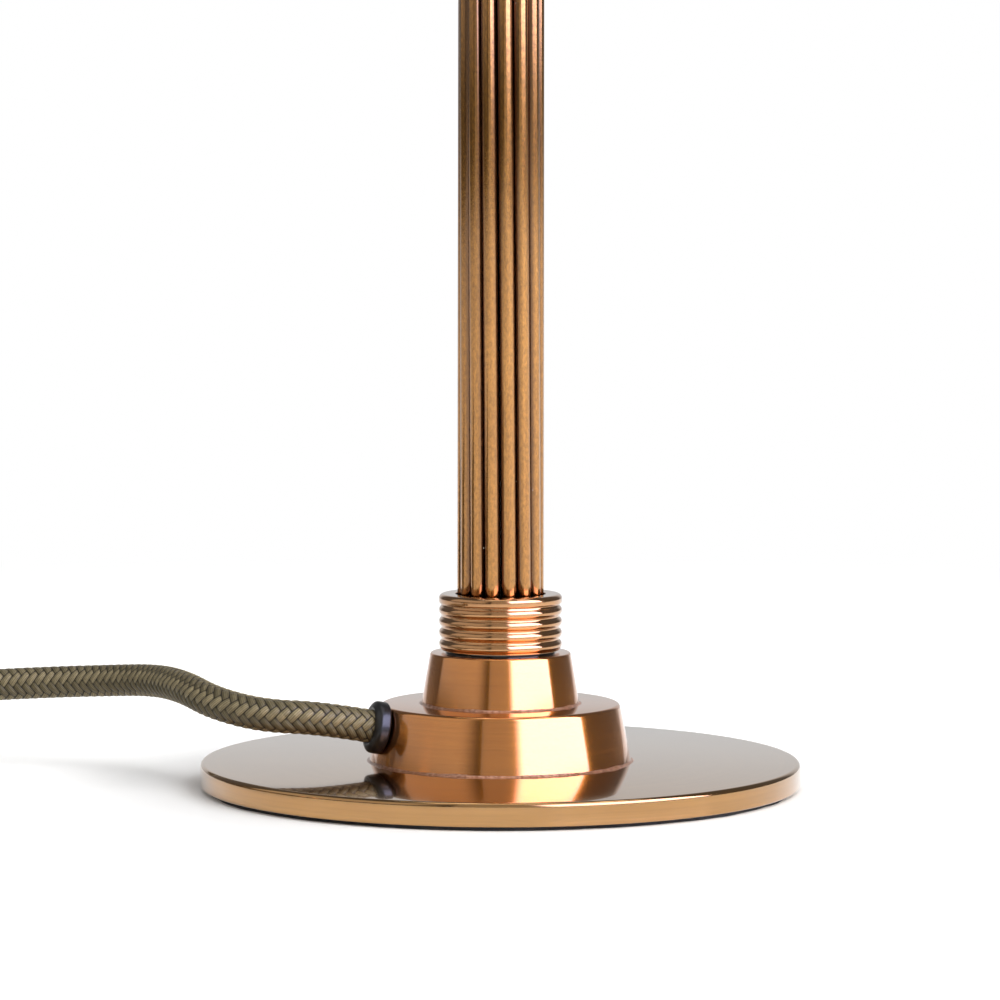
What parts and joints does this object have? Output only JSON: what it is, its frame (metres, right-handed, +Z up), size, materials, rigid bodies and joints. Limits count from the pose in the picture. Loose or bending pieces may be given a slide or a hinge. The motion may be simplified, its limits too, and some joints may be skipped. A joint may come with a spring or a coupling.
{
  "type": "table lamp",
  "caption": "Column table lamp with round stepped base, reeded rod column, braided side-exit cord, switched lampholder, bulb and tapered shade.",
  "frame": {"origin": "on the column's axis at the underside of the base pad", "axes": "+Z up along the column; -Y is the front; the cord leaves towards -X"},
  "size_m": [0.361, 0.241, 0.5049],
  "materials": {
    "aged_brass": "polished antiqued brass under clear lacquer, brushed round the tiers",
    "pad_rubber": "matt black pad",
    "solder": "pinkish solder and lacquer line",
    "grommet_rubber": "glossy black rubber",
    "zinc_steel": "zinc-plated steel",
    "grip_nylon": "natural nylon",
    "flex_braid": "olive braided textile flex",
    "core_brown": "brown core insulation",
    "core_blue": "blue core insulation",
    "core_green": "green and yellow core insulation",
    "insert_phenolic": "black moulded phenolic",
    "contact_brass": "bright brass",
    "bulb_metal": "plain aluminium screw cap",
    "bulb_clear_glass": "clear glass",
    "filament_coat": "amber coated filaments on a glass stem",
    "shade_linen": "off-white linen over a stiff backing",
    "wire_white": "white powder-coated wire",
    "tie_plastic": "black flat tie",
    "plug_plastic": "black moulded plastic",
    "fuse_ceramic": "ceramic fuse body"
  },
  "bodies": {
    "lamp": {"base_pad": "pad_rubber", "base_plate": "aged_brass", "base_screws": "zinc_steel", "lower_tier": "aged_brass", "upper_tier": "aged_brass", "solder_seams": "solder", "cable_grommet": "grommet_rubber", "cord_grip_base": "grip_nylon", "cord_grip_strap": "grip_nylon", "cord_grip_screws": "zinc_steel", "core_tube": "zinc_steel", "lower_collar": "aged_brass", "column_rod_01": "aged_brass", "column_rod_02": "aged_brass", "column_rod_03": "aged_brass", "column_rod_04": "aged_brass", "column_rod_05": "aged_brass", "column_rod_06": "aged_brass", "column_rod_07": "aged_brass", "column_rod_08": "aged_brass", "column_rod_09": "aged_brass", "column_rod_10": "aged_brass", "column_rod_11": "aged_brass", "column_rod_12": "aged_brass", "column_rod_13": "aged_brass", "column_rod_14": "aged_brass", "top_collar": "aged_brass", "top_boss": "aged_brass", "lock_nut": "zinc_steel", "inner_flex": "flex_braid", "live_core": "core_brown", "neutral_core": "core_blue", "earth_core": "core_green", "lampholder_cap": "aged_brass", "lampholder_skirt": "aged_brass", "lampholder_insert": "insert_phenolic", "thread_shell": "contact_brass", "centre_contact": "contact_brass", "terminal_blocks": "contact_brass", "terminal_screws": "contact_brass", "cord_lead": "flex_braid", "cord_coil": "flex_braid", "cord_tail": "flex_braid", "cord_tie": "tie_plastic", "plug_cover": "plug_plastic", "plug_body": "plug_plastic", "plug_earth_pin": "contact_brass", "plug_line_pins": "contact_brass", "plug_screw": "zinc_steel", "plug_fuse": "fuse_ceramic"},
    "switch": {"switch_bar": "aged_brass", "switch_bridge": "contact_brass"},
    "ring": {"shade_ring": "aged_brass"},
    "shade": {"shade_cover": "shade_linen", "shade_top_wire": "wire_white", "shade_carrier": "wire_white"},
    "bulb": {"bulb_glass": "bulb_clear_glass", "bulb_cap": "bulb_metal", "bulb_filament": "filament_coat"}
  },
  "joints": [
    {"name": "switch_push", "type": "slide", "parent": "lamp", "child": "switch", "axis": [-1, 0, 0], "range_m": [0, 0.005]},
    {"name": "bulb_lift", "type": "slide", "parent": "lamp", "child": "bulb", "axis": [0, 0, 1], "range_m": [0, 0.045]},
    {"name": "shade_ring_lift", "type": "slide", "parent": "lamp", "child": "ring", "axis": [0, 0, 1], "range_m": [0, 0.009]},
    {"name": "shade_turn", "type": "hinge", "parent": "lamp", "child": "shade", "pos_m": [0, 0, 0.3469], "axis": [0, 0, 1], "continuous": true}
  ]
}
